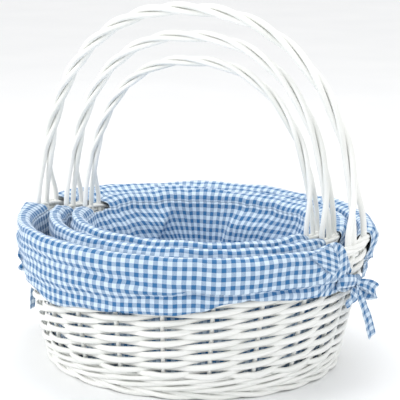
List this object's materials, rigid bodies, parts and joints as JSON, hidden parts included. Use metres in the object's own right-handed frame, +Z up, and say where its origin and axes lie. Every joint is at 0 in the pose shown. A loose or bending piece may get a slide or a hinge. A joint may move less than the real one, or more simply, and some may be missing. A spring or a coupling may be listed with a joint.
{
  "type": "nested willow basket set",
  "caption": "Nested oval willow baskets with twisted hoop handles and gingham cloth liners turned over the rims, tied with bows under the handles.",
  "frame": {"origin": "middle of the large basket's foot, on the table it stands on", "axes": "+X along the handles' span, -Y towards the front, +Z up"},
  "size_m": [0.4594, 0.3911, 0.4258],
  "materials": {
    "willow": "white painted, satin",
    "handle_willow": "white painted, satin",
    "liner_cloth": "blue and white gingham cotton",
    "bow_cloth": "blue and white gingham cotton"
  },
  "bodies": {
    "large_basket": {"large_base_sticks": "willow", "large_base_weave": "willow", "large_foot_border": "willow", "large_upsett": "willow", "large_side_stakes": "willow", "large_side_weave": "willow", "large_rim_border": "willow", "large_handle_strand_1": "handle_willow", "large_handle_strand_2": "handle_willow", "large_handle_strand_3": "handle_willow", "large_liner_floor": "liner_cloth", "large_liner_side": "liner_cloth", "large_front_skirt": "liner_cloth", "large_back_skirt": "liner_cloth", "large_left_bow": "bow_cloth", "large_right_bow": "bow_cloth"},
    "medium_basket": {"medium_base_sticks": "willow", "medium_base_weave": "willow", "medium_foot_border": "willow", "medium_upsett": "willow", "medium_side_stakes": "willow", "medium_side_weave": "willow", "medium_rim_border": "willow", "medium_handle_strand_1": "handle_willow", "medium_handle_strand_2": "handle_willow", "medium_handle_strand_3": "handle_willow", "medium_liner_floor": "liner_cloth", "medium_liner_side": "liner_cloth", "medium_front_skirt": "liner_cloth", "medium_back_skirt": "liner_cloth", "medium_left_bow": "bow_cloth", "medium_right_bow": "bow_cloth"},
    "small_basket": {"small_base_sticks": "willow", "small_base_weave": "willow", "small_foot_border": "willow", "small_upsett": "willow", "small_side_stakes": "willow", "small_side_weave": "willow", "small_rim_border": "willow", "small_handle_strand_1": "handle_willow", "small_handle_strand_2": "handle_willow", "small_handle_strand_3": "handle_willow", "small_liner_floor": "liner_cloth", "small_liner_side": "liner_cloth", "small_front_skirt": "liner_cloth", "small_back_skirt": "liner_cloth", "small_left_bow": "bow_cloth", "small_right_bow": "bow_cloth"}
  },
  "joints": [
    {"name": "medium_tip", "type": "hinge", "parent": "large_basket", "child": "medium_basket", "pos_m": [0, -0.169, 0.162], "axis": [1, 0, 0], "range_deg": [0, 30]},
    {"name": "small_tip", "type": "hinge", "parent": "medium_basket", "child": "small_basket", "pos_m": [0, -0.14, 0.163], "axis": [1, 0, 0], "range_deg": [0, 24]}
  ]
}
